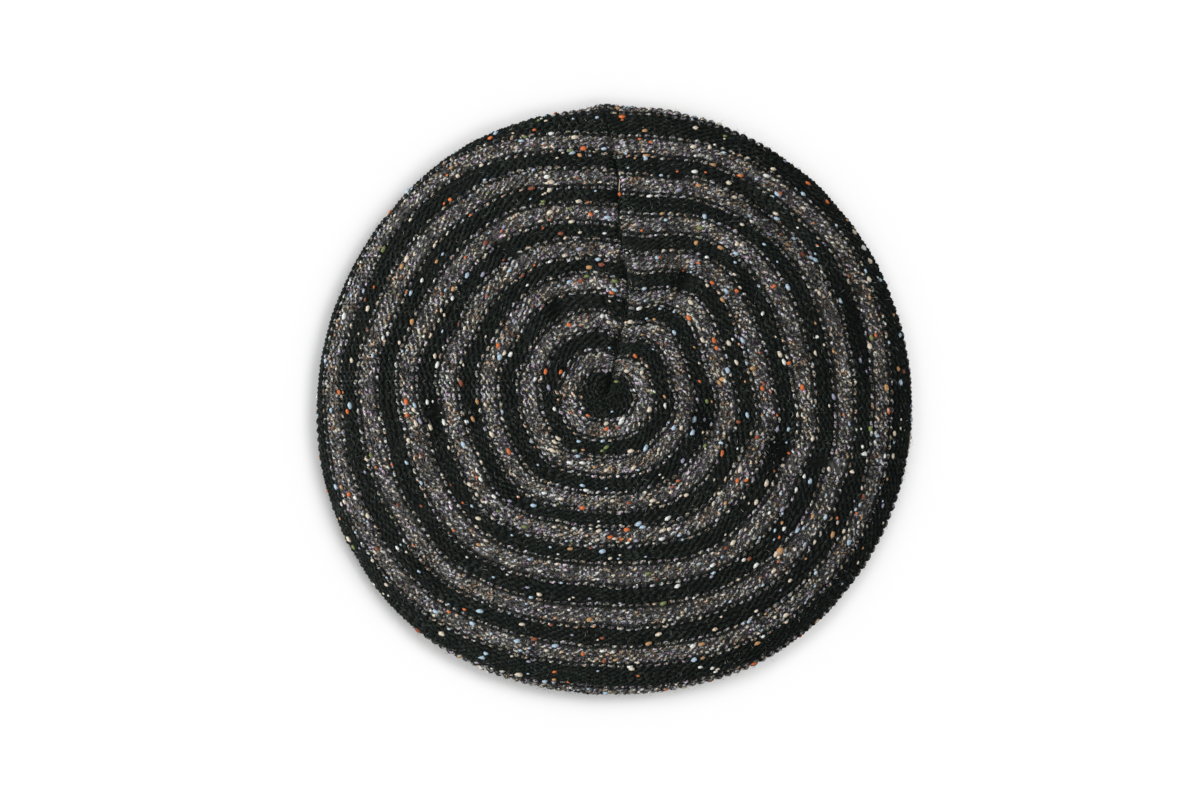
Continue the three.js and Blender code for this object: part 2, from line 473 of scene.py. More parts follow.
# %% [markdown]
# ## One stitch, many times
# A knitted loop is a flat omega: the yarn rises along one leg, runs over the head, comes down the
# other leg and passes under into the next stitch. One could model a single stitch and copy it,
# but copies can't narrow towards the centre or follow a tuck. Three waves draw the yarn instead.
# One runs sideways twice per stitch and narrows the loop's foot, one swings between the rows, and
# one moves through the cloth, so that heads and feet lie outside and legs inside. That is the purl
# side. The loops are taller than the rows are apart, so each row's heads and the next row's feet
# slip between each other, and make the beads that one sees.

# %% The yarn's bends in a loop
LOOP_HALF_HEIGHT = 0.76 * ROW_PITCH
LOOP_SWING = 0.18  # sideways swing, as a share of the stitch's width
LOOP_SLANT = 0.22  # how far the yarn's twist tips every bead, its right side up
LOOP_DEPTH = 0.85  # half of the way through the cloth


def loop_bends(phase):
    """Where a loop's yarn lies: sideways in stitches, then upwards and outwards in mm."""
    sideways = LOOP_SWING * np.sin(2 * phase)
    flat_wave = (9 * np.cos(phase) - np.cos(3 * phase)) / 8  # a cosine with level tops
    upwards = LOOP_SLANT * np.sin(2 * phase) - LOOP_HALF_HEIGHT * flat_wave
    outwards = LOOP_DEPTH * (np.cos(2 * phase) - 1)
    return sideways, upwards, outwards


for name, phase in (("foot", 0.0), ("leg", TURN / 4), ("head", TURN / 2)):
    print(name, "of a loop:", [round(float(bend), 2) for bend in loop_bends(phase)])

# %% [markdown]
# Within a wedge the stitches run parallel to its first edge, and a new one is squeezed in at the
# other edge whenever there is room. Widening all stitches evenly would be simpler, but it would
# lose the slight corners that eight wedges give to the stripes.

# %% Stitches in a wedge
WEDGES = 8
STITCH_WIDTH = 4.2
WEDGE_STEPS = 200  # points at which a wedge's stitch numbers are worked out


def crown_radius(row):
    """The mean radius of a row, for counting its stitches."""
    share = even_distance(row + 0.5) / face_length.mean()
    middle = face[..., 0].mean(axis=0)
    return float(np.interp(share, np.linspace(0, 1, PLACES + 1), middle))


def row_counts(radius):
    """Stitches in each wedge of a row: wanted, and whole."""
    wanted = TURN * radius / STITCH_WIDTH / WEDGES
    return wanted, max(1, round(wanted))


def stitch_places(number, wanted, whole, rows_out):
    """Turn (0 to 1 of a wedge) for stitch numbers in a wedge, at a height in rows over its row."""
    lean = min(4.0, 1 + wanted / 4)  # wide wedges keep the squeeze close to their far edge
    share = np.linspace(0, 1, WEDGE_STEPS)
    numbers = np.maximum.accumulate(share * wanted + (whole - wanted) * share**lean)
    place = np.interp(number, numbers, share)
    growth = TURN * ROW_PITCH / STITCH_WIDTH / WEDGES
    slope = np.maximum(wanted + (whole - wanted) * lean * place ** (lean - 1), 0.4 * wanted)
    return place - rows_out * growth * (place - place**lean) / slope


counts = [row_counts(crown_radius(row))[1] * WEDGES for row in range(0, ROWS, 12)]
print("stitches in every twelfth row:", counts)

# %% The seam's furrow
FURROW_DEPTH, FURROW_WIDTH = 2.6, 2.3
RIDGE_HEIGHT, RIDGE_WIDTH = 1.3, 5.0
RIDGE_ROWS = (50, 58, 66, 74)  # the ridge rises between the first two and fades by the last two


def seam_furrow(turned, row):
    """How deep the cloth turns in beside the seam. At the fold the seam lifts the cloth instead."""
    beside = np.minimum(turned, TURN - turned) * crown_radius(row)
    at_fold = smooth_step(*RIDGE_ROWS[:2], row) * (1 - smooth_step(*RIDGE_ROWS[2:], row))
    furrow = FURROW_DEPTH * (1 - at_fold) * hill(beside, FURROW_WIDTH)
    return furrow - RIDGE_HEIGHT * at_fold * hill(beside, RIDGE_WIDTH)


print(f"furrow: {seam_furrow(0.0, 20):.1f} mm at row 20, {seam_furrow(0.0, 62):.1f} mm at the fold")

# %% Lay a row of loops
YARN_RADIUS = 0.72
STANDS_PROUD = 0.45  # how far the beads stand over the CAD face
EDGE = 0.28  # how far from the seam, in stitches, the yarn turns back
NEAREST = 0.7  # no yarn comes closer to the centre
UNEVEN_HEIGHT, UNEVEN_DEPTH = 0.12, 0.07  # mm by which single stitches stray
UNEVEN_YARN, SWELL = 0.04, 0.12  # shares of the radius, stitch by stitch and along the yarn
SWELL_LIMITS = (-1.6, 2.2)


def yarn_radii(uneven, points_per_stitch, width):
    """Thick and thin by turns. Near the centre narrow stitches squeeze the yarn."""
    swell = chance.normal(size=len(uneven))
    swell = running_mean(swell, half=2 * points_per_stitch, axis=0, closed=False)
    swell = np.clip(swell / swell.std(), *SWELL_LIMITS)
    radius = YARN_RADIUS * (1 + SWELL * swell + UNEVEN_YARN * uneven)
    if width < 0.8 * STITCH_WIDTH:
        radius = radius * (0.5 + 0.5 * width / STITCH_WIDTH)
    return radius


def loop_row(row, stops):
    """The yarn of one crown row: points along it, the cloth's outward directions and yarn radii."""
    flat_radius = crown_radius(row)
    wanted, whole = row_counts(flat_radius)
    stitches = whole * WEDGES
    t = (np.arange(stitches)[:, None] + stops).ravel()  # stitches worked so far
    sideways, upwards, outwards = loop_bends(TURN * t)
    number = np.clip(t + sideways, EDGE, stitches - EDGE)
    wedge = np.minimum(np.floor(number / whole), WEDGES - 1)
    in_wedge = stitch_places(number - wedge * whole, wanted, whole, upwards / ROW_PITCH)
    turned = (wedge + in_wedge) * TURN / WEDGES
    angle = angle_from_seam(turned, even_distance(row))
    uneven = chance.normal(size=(3, stitches + 1))
    uneven = [np.interp(t, np.arange(stitches + 1), line) for line in uneven]
    distance = row_distance(row, turned, angle) + upwards + UNEVEN_HEIGHT * uneven[0]
    place, normal = on_cloth(angle, np.maximum(distance, NEAREST))
    proud = STANDS_PROUD - YARN_RADIUS + LOFT * chance_at(loft, row, turned)
    depth = proud + outwards + UNEVEN_DEPTH * uneven[1] - seam_furrow(turned, row)
    radius = yarn_radii(uneven[2], len(stops), TURN * flat_radius / stitches)
    line = place + normal * depth[:, None]
    line[:, 2] = np.maximum(line[:, 2], radius)  # the table holds up what lies on it
    return line, normal, radius


print(f"yarn {2 * YARN_RADIUS:.2f} mm thick, in loops {2 * LOOP_HALF_HEIGHT:.1f} mm tall")

# %% [markdown]
# ## From lines to yarn
# Each yarn becomes a thin tube: corners round the line, joined ring to ring. Blender's own curves
# can do that too, but they twist where a line bends sharply. Here a first corner that always
# points away from the cloth keeps the tube straight. The tube also gets a flat map, once round the
# yarn and millimetres along it, so that the material can spin its fibres.

# %% Tubes of yarn
def yarn_rings(line, outward, radius, sides):
    """Corner points of a tube: one ring for each point of the line."""
    along = unit(np.gradient(line, axis=0))
    side = unit(np.cross(along, outward))
    up = np.cross(side, along)
    corners = (np.arange(sides) * TURN / sides)[:, None]
    spread = np.cos(corners) * up[:, None] + np.sin(corners) * side[:, None]
    return line[:, None] + spread * np.asarray(radius)[:, None, None]


def tube_faces(rings, sides):
    """Four-cornered faces from each ring of a tube to the next."""
    start = np.arange(rings - 1)[:, None] * sides
    corner = np.arange(sides)
    beside = (corner + 1) % sides
    corners = [start + corner, start + beside, start + sides + beside, start + sides + corner]
    return np.stack(corners, axis=-1).reshape(-1, 4)


def tube_map(walked, sides):
    """The tube's faces laid out flat: 0 to 1 round it, and millimetres along it."""
    left, low = np.meshgrid(np.arange(sides) / sides, walked[:-1])
    right, high = np.meshgrid(np.arange(1, sides + 1) / sides, walked[1:])
    corners = [left, low, right, low, right, high, left, high]
    return np.stack(corners, axis=-1).reshape(-1, 2)


print("faces of a tube with 10 rings of 5 corners:", len(tube_faces(10, 5)))

# %% Pieces of the beret
triangles = {}  # how many each piece has


def show(name, data):
    """Puts a mesh, a lamp or a camera into the scene."""
    thing = bpy.data.objects.new(name, data)
    bpy.context.scene.collection.objects.link(thing)
    return thing


def mesh_piece(name, points, faces, material, uv=None):
    """A shown piece of the beret from points in mm and faces with equal corner counts."""
    mesh = bpy.data.meshes.new(name)
    mesh.from_pydata((points * MM).tolist(), [], faces.tolist())
    if uv is not None:
        mesh.uv_layers.new(name="spin").data.foreach_set("uv", uv.astype(np.float32).ravel())
    mesh.shade_smooth()
    mesh.materials.append(material)
    piece = show(name, mesh)
    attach(piece, "root")
    triangles[name] = len(faces) * (faces.shape[1] - 2)
    return piece


def yarn_piece(name, yarns, sides, material):
    """One piece from several yarns, each a (line, outward directions, radii)."""
    points, faces, maps, first = [], [], [], 0
    for line, outward, radius in yarns:
        points.append(yarn_rings(line, outward, radius, sides).reshape(-1, 3))
        faces.append(first + tube_faces(len(line), sides))
        maps.append(tube_map(distance_walked(line), sides))
        first += len(line) * sides
    points, faces, maps = (np.concatenate(parts) for parts in (points, faces, maps))
    return mesh_piece(name, points, faces, material, maps)


# %% [markdown]
# ## Wool
# Tweed yarn is spun from strands of several shades. Up close, one strand after another comes to
# the outside as the yarn twists, so a stitch may show light wool and its neighbour dark. One grey
# for a whole stripe would look like plastic cord. A wave that climbs round the tube draws the
# strands. It runs on a circle (sine and cosine of the turn), so that the pattern closes round the
# yarn without a join. Specks, blotches and patches of three sizes break it up, as carded wool is
# never mixed quite evenly. Fine streaks along the twist are the single fibres, and they also
# roughen the surface.

# %% A small helper for node trees
FIBRE_HEIGHT = 0.3 * MM  # relief of the fibres on the yarn


class Finish:
    """A material that is built up node by node."""

    def __init__(self, name):
        self.material = bpy.data.materials.new(name)
        self.material.use_nodes = True
        self.nodes = self.material.node_tree.nodes
        self.nodes.clear()

    def add(self, kind, inputs=None, **settings):
        """A node with its settings, and its inputs set to numbers or joined to other nodes."""
        made = self.nodes.new(kind)
        for key, value in settings.items():
            setattr(made, key, value)
        for key, value in (inputs or {}).items():
            if isinstance(value, bpy.types.NodeSocket):
                self.material.node_tree.links.new(value, made.inputs[key])
            else:
                made.inputs[key].default_value = value
        return made

    def place(self):
        """The point of the beret that is being coloured, in metres."""
        return self.add("ShaderNodeTexCoord").outputs["Object"]

    def maths(self, operation, *values):
        """The outcome of one sum."""
        return self.add("ShaderNodeMath", dict(enumerate(values)), operation=operation).outputs[0]

    def add_up(self, parts, total=0.0):
        """A sum of (share, value) parts."""
        for share, value in parts:
            total = self.maths("MULTIPLY_ADD", value, share, total)
        return total

    def noise(self, vector, scale, detail=2.0, roughness=0.5):
        """Soft random values about a half."""
        inputs = {"Vector": vector, "Scale": scale, "Detail": detail, "Roughness": roughness}
        return self.add("ShaderNodeTexNoise", inputs).outputs[0]

    def mix(self, share, first, second, how="MIX"):
        """A colour from two colours."""
        inputs = {0: share, 6: first, 7: second}
        return self.add("ShaderNodeMix", inputs, data_type="RGBA", blend_type=how).outputs[2]

    def shades(self, value, stops):
        """Colours along a scale, from (position, colour) pairs."""
        ramp = self.add("ShaderNodeValToRGB", {0: value})
        marks = ramp.color_ramp.elements
        marks[0].position, marks[0].color = stops[0][0], (*stops[0][1], 1)
        marks[1].position, marks[1].color = stops[-1][0], (*stops[-1][1], 1)
        for position, colour in stops[1:-1]:
            marks.new(position).color = (*colour, 1)
        return ramp.outputs[0]

    def surface(self, colour, settings, height=None):
        """Ends the material in a Principled surface, with fibres of that height as a bump."""
        shader = self.add("ShaderNodeBsdfPrincipled", {"Base Color": colour, **settings})
        if height is not None:
            inputs = {"Height": height, "Distance": FIBRE_HEIGHT, "Strength": 0.6}
            bump = self.add("ShaderNodeBump", inputs)
            self.material.node_tree.links.new(bump.outputs[0], shader.inputs["Normal"])
        self.add("ShaderNodeOutputMaterial", {0: shader.outputs[0]})
        return self.material


# %% Spun yarn
TWIST_LENGTH = 3.4  # mm of yarn for one turn of the strands
UNEVEN_TWIST = 7.0  # turns by which it gains or loses, over stretches of the beret
TWIST_CHANGES = 55.0  # such stretches to a metre


def spun(finish, place):
    """The strand wave (0 to 1), and a place on a circle that turns with the twist."""
    flat_map = finish.add("ShaderNodeUVMap", uv_map="spin").outputs[0]
    around, along = finish.add("ShaderNodeSeparateXYZ", {0: flat_map}).outputs[:2]
    uneven = finish.maths("MULTIPLY", finish.noise(place, TWIST_CHANGES, 1.0), UNEVEN_TWIST)
    climb = finish.maths("ADD", around, finish.maths("DIVIDE", along, TWIST_LENGTH))
    twist = finish.maths("MULTIPLY", finish.maths("ADD", climb, uneven), TURN)
    right, up = finish.maths("COSINE", twist), finish.maths("SINE", twist)
    lengthwise = finish.maths("MULTIPLY", along, 0.25)  # streaks are longer than they are wide
    circle = finish.add("ShaderNodeCombineXYZ", {0: right, 1: up, 2: lengthwise}).outputs[0]
    return finish.maths("MULTIPLY_ADD", right, 0.5, 0.5), circle


print("the strands turn once in", TWIST_LENGTH, "mm of yarn")


# %% Wool of several shades
# How many random spots of each kind there are to a metre of wool.
SPECKS, BLOTCHES, PATCHES = 1400.0, 600.0, 190.0
SLOW_HUES, QUICK_HUES = 90.0, 430.0


def wool(name, strands, tints, sheen):
    """Yarn of several shades: strands go from dark to light, tints are the odd colours."""
    finish = Finish(name)
    place = finish.place()
    strand, circle = spun(finish, place)
    streak = finish.noise(circle, 2.6, 3.0, 0.75)
    speck = finish.noise(place, SPECKS, 1.0, 0.6)
    blotch = finish.noise(place, BLOTCHES, 1.0, 0.6)
    patch = finish.noise(place, PATCHES, 2.0, 0.6)
    parts = [(0.30, streak), (0.10, strand), (0.28, speck), (0.30, blotch), (0.27, patch)]
    shade = finish.shades(finish.add_up(parts), strands)
    slow_hue = finish.noise(place, SLOW_HUES, 2.0, 0.7)
    quick_hue = finish.noise(place, QUICK_HUES, 2.0, 0.6)
    strand_hue = finish.noise(circle, 1.9, 2.0, 0.6)
    hue = finish.add_up([(0.28, slow_hue), (0.7, quick_hue), (0.3, strand_hue)], -0.14)
    colour = finish.mix(1.0, shade, finish.shades(hue, tints), "MULTIPLY")
    settings = {
        "Roughness": 0.95,
        "Specular IOR Level": 0.12,
        "Sheen Weight": sheen,
        "Sheen Roughness": 0.5,
        "Sheen Tint": (0.62, 0.92, 1.0, 1.0),
    }
    return finish.surface(colour, settings, finish.noise(circle, 9.0, 3.0, 0.65))


# %% The two wools
GREY_TWEED = wool(
    "grey tweed wool",
    strands=[
        (0.53, (0.0105, 0.0105, 0.011)),
        (0.595, (0.038, 0.037, 0.037)),
        (0.633, (0.122, 0.118, 0.114)),
        (0.68, (0.300, 0.292, 0.281)),
        (0.76, (0.82, 0.805, 0.78)),
    ],
    tints=[
        (0.39, (1.0, 0.64, 0.45)),
        (0.44, (1.0, 0.87, 0.70)),
        (0.48, (0.85, 0.97, 0.76)),
        (0.51, (0.95, 0.95, 0.95)),
        (0.54, (0.70, 0.86, 1.0)),
        (0.60, (1.0, 0.73, 0.93)),
    ],
    sheen=0.08,
)
CHARCOAL_WOOL = wool(
    "charcoal wool",
    strands=[
        (0.475, (0.0032, 0.0046, 0.0038)),
        (0.655, (0.0105, 0.0132, 0.0112)),
        (0.805, (0.045, 0.050, 0.044)),
    ],
    tints=[(0.38, (1.0, 0.90, 0.80)), (0.5, (0.92, 1.0, 0.92)), (0.62, (0.82, 0.95, 1.0))],
    sheen=0.022,
)
print("wools:", GREY_TWEED.name, "and", CHARCOAL_WOOL.name)

# %% Knit the stripes
# Where on a stitch the yarn gets its points: three make each bend round, and one each leg.
TOP_STOPS = np.array([0, 30, 90, 150, 180, 210, 270, 330]) / 360
UNDER_STOPS = np.arange(6) / 6  # fewer do where the beret lies on the table
TOP_SIDES, UNDER_SIDES = 5, 4
UNDER_FROM = 66  # the first stripe that starts from this row on lies underneath


def stripe_name(row):
    """The stripe that a row belongs to, numbered from the middle of the crown."""
    pair, is_grey = divmod(int(stripe_of_row[row]), 2)
    return f"{'grey' if is_grey else 'charcoal'}_stripe_{pair + 1}"


stripes = {}
for row in range(ROWS):
    stripes.setdefault(stripe_name(row), []).append(row)
knitted = {}
for name, rows in stripes.items():
    is_under = rows[0] >= UNDER_FROM
    stops, sides = (UNDER_STOPS, UNDER_SIDES) if is_under else (TOP_STOPS, TOP_SIDES)
    for row in rows:
        knitted[row] = loop_row(row, stops)
    material = GREY_TWEED if name.startswith("grey") else CHARCOAL_WOOL
    piece = yarn_piece(name, [knitted[row] for row in rows], sides, material)
    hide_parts("crown")
print(len(stripes), "stripes,", sum(triangles.values()), "triangles")

# %% [markdown]
# ## The felted heart of the cloth
# Wool fibres reach from yarn to yarn and fill the gaps of the knitting, so that one can't see
# through it. Drawing each fibre would take millions. A thin sheet in the middle of the stitches
# does the same. The yarn stands out on both of its faces: beads outside, and the legs of the loops
# inside. The sheet's grey and charcoal are darker than the yarn's: that is painted shade, for the
# shadow that falls into the gaps between the stitches.

# %% The sheet between the stitches
CORE_DEPTHS = (0.8, 1.2)  # of its outer and its inner face
CORE_STEPS = 96
CORE_START = 0.3  # the sheet begins this far from the centre
core_turns = np.linspace(0, TURN, CORE_STEPS + 1)
core_rows = np.arange(-0.5, ROWS, 1.0)  # the gaps between the rows


def core_face(depth):
    """One face of the sheet: a grid of points, a line of them for each gap between rows."""
    lines = []
    for row in core_rows:
        angle = angle_from_seam(core_turns, max(even_distance(row), 0.4))
        nearest = int(np.clip(round(row), 0, ROWS - 1))
        distance = row_distance(nearest, core_turns, angle) + (row - nearest) * ROW_PITCH
        place, normal = on_cloth(angle, np.maximum(distance, CORE_START))
        lines.append(place - normal * (depth + seam_furrow(core_turns, nearest))[:, None])
    return np.array(lines)


def core_colours():
    """For each line of the sheet 1 where it is grey. Between two stripes the charcoal one shows."""
    both_sides = np.array([core_rows - 0.5, core_rows + 0.5])
    rows = np.clip(both_sides, 0, ROWS - 1).astype(int)
    return (stripe_of_row[rows] % 2).min(axis=0)


def core_wool_in_painted_shade():
    """Grey and charcoal by turns as each point says, in painted shade: darker than the yarn."""
    finish = Finish("felted core in painted shade")
    is_grey = finish.add("ShaderNodeAttribute", attribute_name="is_grey").outputs["Fac"]
    fibres = finish.noise(finish.place(), 900.0, 3.0, 0.7)
    # Both ramps are darker than the yarn in front: painted shade for the gaps between the stitches.
    grey = finish.shades(fibres, [(0.38, (0.010, 0.010, 0.010)), (0.62, (0.105, 0.099, 0.094))])
    dark = finish.shades(fibres, [(0.35, (0.003, 0.0035, 0.0035)), (0.65, (0.012, 0.013, 0.012))])
    settings = {"Roughness": 1.0, "Specular IOR Level": 0.05}
    return finish.surface(finish.mix(is_grey, dark, grey), settings, fibres)


def felted_core_in_painted_shade():
    """The sheet as one closed skin: along its outer face and back along its inner one."""
    outside, inside = (core_face(depth) for depth in CORE_DEPTHS)
    lines, count = outside.shape[:2]
    grid = np.concatenate([outside, inside[::-1]]).reshape(-1, 3)
    line = np.arange(2 * lines)[:, None] * count
    after = np.roll(line, -1, axis=0)
    step = np.arange(count - 1)
    corners = [line + step, line + step + 1, after + step + 1, after + step]
    faces = np.stack(corners, axis=-1).reshape(-1, 4)
    piece = mesh_piece("felted_core_in_painted_shade", grid, faces, core_wool_in_painted_shade())
    is_grey = np.concatenate([core_colours(), core_colours()[::-1]])
    layer = piece.data.attributes.new("is_grey", "FLOAT", "POINT")
    layer.data.foreach_set("value", np.repeat(is_grey, count).astype(np.float32))
    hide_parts("crown")


felted_core_in_painted_shade()
print("felted core in painted shade:", triangles["felted_core_in_painted_shade"], "triangles")

# %% [markdown]
# ## The band
# The band is ribbed: two knit stitches and two purl stitches by turns. Relaxed, the knit pairs
# swell outwards and the purl pairs draw in, which is what makes a rib grip. A ridged ring would do
# from afar, but the band shows its stitches when the beret is turned over. So the same loop draws
# it. Knit stitches show their legs outside, and there the wave through the cloth is turned over.

# %% Knit the band
BAND_ROWS = 6
BAND_ROW_PITCH = 2.2
BAND_LOWEST = 2.3  # height of the first row's middle
BAND_LOOP_HALF_HEIGHT = 1.6
BAND_LOOP_DEPTH = 0.5
BAND_RIBS = 48
RIB_STITCHES = 4
BAND_STEPS = 6  # points of a stitch
BAND_YARN = 0.62
RIB_DEPTH = 0.65
KNIT_SHARE = 0.6  # of each rib's width that its two knit stitches take
BAND_MIDDLE = (band_high[0] - band_low[0]) / 2 - 2.0  # the ribs swing about this radius


def band_row(row):
    """The yarn of one band row, once round the head opening."""
    stitches = BAND_RIBS * RIB_STITCHES
    t = np.linspace(0, stitches, stitches * BAND_STEPS + 1)
    phase = TURN * t
    number = t + LOOP_SWING * np.sin(2 * phase)
    spread = np.interp(number % RIB_STITCHES, [0, 2, 4], [0, KNIT_SHARE, 1])
    angle = (np.floor(number / RIB_STITCHES) + spread) * TURN / BAND_RIBS
    side = np.clip(2.5 * np.sin(phase / RIB_STITCHES), -1, 1)  # 1 on knit stitches, -1 on purl ones
    depth = side * (RIB_DEPTH - BAND_LOOP_DEPTH * np.cos(2 * phase))
    uneven = UNEVEN_HEIGHT / 2 * chance.normal(size=len(t))
    middle = BAND_LOWEST + row * BAND_ROW_PITCH
    height = middle - BAND_LOOP_HALF_HEIGHT * np.cos(phase) + uneven
    way = heading(angle)
    line = np.column_stack([head_centre + way * (BAND_MIDDLE + depth)[:, None], height])
    outward = np.column_stack([way, np.zeros(len(t))])
    return line, outward, np.full(len(t), BAND_YARN)


band_yarns = [band_row(row) for row in range(BAND_ROWS)]
head_band = yarn_piece("head_band", band_yarns, 4, CHARCOAL_WOOL)
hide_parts("band")
print("band:", triangles["head_band"], "triangles")

# %% [markdown]
# ## Nubs and flecks
# What makes tweed tweed are the nubs: little knots of dyed wool that are thrown in when the yarn is
# spun. They sit on the yarn and are drawn out along it. Colour spots in the yarn's own material
# would stay flat, while a real nub bulges and catches the light by itself. So each one is a small
# body. Most are small and scattered by chance. The thick ones, which stand over the stitches and
# are what one remembers of a beret, have their places in a short chart.

# %% Colours of the nubs
NUB_COLOURS = {
    # name: (colour, how often, by weight)
    "cream": ((0.74, 0.65, 0.51), 27),
    "white": ((0.80, 0.82, 0.78), 11),
    "ice_blue": ((0.45, 0.59, 0.71), 22),
    "lavender": ((0.34, 0.34, 0.45), 8),
    "orange": ((0.70, 0.18, 0.055), 8.5),
    "rust": ((0.29, 0.09, 0.05), 4.5),
    "tan": ((0.55, 0.31, 0.14), 10),
    "moss": ((0.20, 0.25, 0.09), 5),
}


def nub_wool(name, colour):
    """Dyed wool with darker fibres in it."""
    finish = Finish(f"{name} nub wool")
    fibres = finish.noise(finish.place(), SPECKS, 3.0, 0.7)
    darker = tuple(0.45 * part for part in colour)
    settings = {"Roughness": 0.95, "Specular IOR Level": 0.1, "Sheen Weight": 0.05}
    return finish.surface(finish.shades(fibres, [(0.32, darker), (0.6, colour)]), settings, fibres)


print("nub colours:", ", ".join(NUB_COLOURS))

# %% A chart of the thick nubs
THICK_NUBS = {
    # name: (millimetres to the right and to the back of the opening's centre, length) of each
    "cream": [
        (-82, -108, 3.2), (36, 120, 3.0), (-73, 106, 3.0), (4, 13, 2.6), (12, 14, 2.6),
        (78, -29, 2.8), (119, 27, 3.2), (53, 103, 3.0), (57, 74, 3.2), (-19, 124, 3.2),
        (48, -42, 2.6), (44, 119, 2.8), (38, 129, 2.6), (-30, 89, 3.0), (111, -31, 2.8),
        (56, 96, 2.6), (-5, -4, 2.4),
    ],
    "white": [
        (-31, 105, 3.0), (-48, 23, 2.8), (-6, 40, 2.8), (94, 31, 3.0), (116, -23, 3.8),
        (68, 42, 2.4),
    ],
    "ice_blue": [
        (38, -120, 3.2), (53, 16, 3.0), (50, -18, 2.8), (91, -36, 2.8), (15, 114, 3.2),
        (42, 87, 3.2), (123, -15, 2.8), (98, -53, 2.6), (19, 67, 2.6), (27, 32, 2.4),
    ],
    "orange": [
        (-97, 1, 3.0), (-96, -5, 2.8), (-124, -43, 3.0), (2, 97, 3.2), (74, 55, 3.0),
        (-11, 88, 3.0), (-21, 36, 2.8), (35, 40, 3.0), (-15, -49, 2.8), (3, -63, 2.6),
        (7, -63, 2.6), (-15, -117, 2.8), (-77, 95, 2.8), (-14, 119, 3.2), (81, 19, 2.6),
        (68, 7, 2.6), (86, 7, 3.0), (81, -23, 2.4), (57, -36, 2.4), (61, -36, 2.4),
        (57, 52, 2.4), (47, 26, 2.4),
    ],
    "rust": [(-5, -120, 3.0), (-60, 75, 3.0), (57, -9, 2.8), (66, -16, 3.2), (-15, 57, 3.2)],
    "tan": [
        (77, -69, 4.6), (-12, -100, 3.2), (64, 16, 3.4), (49, 11, 3.4), (127, 8, 3.4),
        (38, 75, 3.0), (-16, 115, 2.8),
    ],
    "moss": [(119, -12, 2.8), (-20, 118, 2.8), (120, 31, 2.6)],
}
print("thick nubs:", {name: len(places) for name, places in THICK_NUBS.items()})

# %% Shape of a nub
NUB_LENGTH, NUB_WIDTH = 2.4, 1.45  # of a small nub of size 1
THICK_NUB_WIDTH = 0.68  # share of its length
LUMPINESS = 0.5  # the more points a ball has, the less each one strays
NUB_SUNK = 0.28  # share of a nub's width that sinks into the yarn


def ball_mesh(fineness):
    """Points and faces of a small round body to pull nubs from."""
    ball = bmesh.new()
    bmesh.ops.create_icosphere(ball, subdivisions=fineness, radius=1.0)
    points = np.array([tuple(v.co) for v in ball.verts])
    faces = np.array([[v.index for v in face.verts] for face in ball.faces])
    ball.free()
    return points, faces


def nub(row, index, length, width, ball):
    """Points and faces of one nub, pulled out along the yarn at a point of a row."""
    line, normal, radius = knitted[row]
    index = int(np.clip(index, 1, len(line) - 2))
    along = unit(line[index + 1] - line[index - 1])
    up = unit(normal[index] - along * (normal[index] @ along))
    side = np.cross(up, along)
    ball_points, faces = ball
    stray = LUMPINESS / len(ball_points) ** 0.5
    lumps = ball_points * (1 + stray * chance.normal(size=(len(ball_points), 1)))
    shaped = lumps @ np.array([along * length, side * width, up * width]) / 2
    points = line[index] + up * (radius[index] - NUB_SUNK * width) + shaped
    points[:, 2] -= min(points[:, 2].min(), 0)  # none goes through the table
    return points, faces


SMALL_BALL, THICK_BALL = ball_mesh(1), ball_mesh(2)
print("points of a small and a thick nub:", len(SMALL_BALL[0]), len(THICK_BALL[0]))

# %% Scatter the small nubs along the yarn
SMALL_NUBS = 1250
NUB_ROWS = np.arange(3, 76)
CHARCOAL_LIKING = 0.62  # charcoal rows get fewer nubs than grey ones
nubs = {name: [] for name in NUB_COLOURS}
row_lengths = np.array([len(knitted[row][0]) for row in NUB_ROWS], float)
liking = row_lengths * np.where(stripe_of_row[NUB_ROWS] % 2, 1.0, CHARCOAL_LIKING)
names = list(NUB_COLOURS)
weights = np.array([NUB_COLOURS[name][1] for name in names], float)
for _ in range(SMALL_NUBS):
    row = int(chance.choice(NUB_ROWS, p=liking / liking.sum()))
    steps = len(UNDER_STOPS if row >= UNDER_FROM else TOP_STOPS)
    half_stitch = chance.integers(2, 2 * (len(knitted[row][0]) // steps) - 1)
    size = 0.6 + 1.1 * chance.random() ** 2.5  # most are small
    name = names[chance.choice(len(names), p=weights / weights.sum())]
    index = int(half_stitch * steps / 2)
    length, width = NUB_LENGTH * size, NUB_WIDTH * size**0.8
    nubs[name].append(nub(row, index, length, width, SMALL_BALL))
print("small nubs:", {name: len(shapes) for name, shapes in nubs.items()})

# %% Put the thick nubs on the stitches that are nearest to their places
THICK_NUB_ROWS = range(6, UNDER_FROM)
top_points = np.concatenate([knitted[row][0] for row in THICK_NUB_ROWS])
top_places = [(row, index) for row in THICK_NUB_ROWS for index in range(len(knitted[row][0]))]
for name, places in THICK_NUBS.items():
    for right, back, length in places:
        away = np.linalg.norm(top_points[:, :2] - head_centre - (right, back), axis=1)
        nearest = int(np.argmin(away - 0.6 * top_points[:, 2]))  # it likes to sit high
        row, index = top_places[nearest]
        nubs[name].append(nub(row, index, length, THICK_NUB_WIDTH * length, THICK_BALL))
print("nubs:", {name: len(shapes) for name, shapes in nubs.items()})

# %% Make one piece of each colour's nubs
for name, shapes in nubs.items():
    firsts = np.cumsum([0] + [len(points) for points, _faces in shapes])
    points = np.concatenate([points for points, _faces in shapes])
    faces = np.concatenate([faces + first for (_points, faces), first in zip(shapes, firsts)])
    wool_of_nub = nub_wool(name, NUB_COLOURS[name][0])
    mesh_piece(f"{name}_nubs", points, faces, wool_of_nub)
print("all nubs:", sum(triangles[f"{name}_nubs"] for name in nubs), "triangles")

# %% [markdown]
# ## The seam's own yarn
# The two edges of the knitting are sewn edge to edge. A dark crease alone would do from afar, but
# the eye finds the thread in it. The sewing yarn lies at the bottom of the furrow and shows as one
# dark line. It dips in and out of the edge stitches, once for each row.

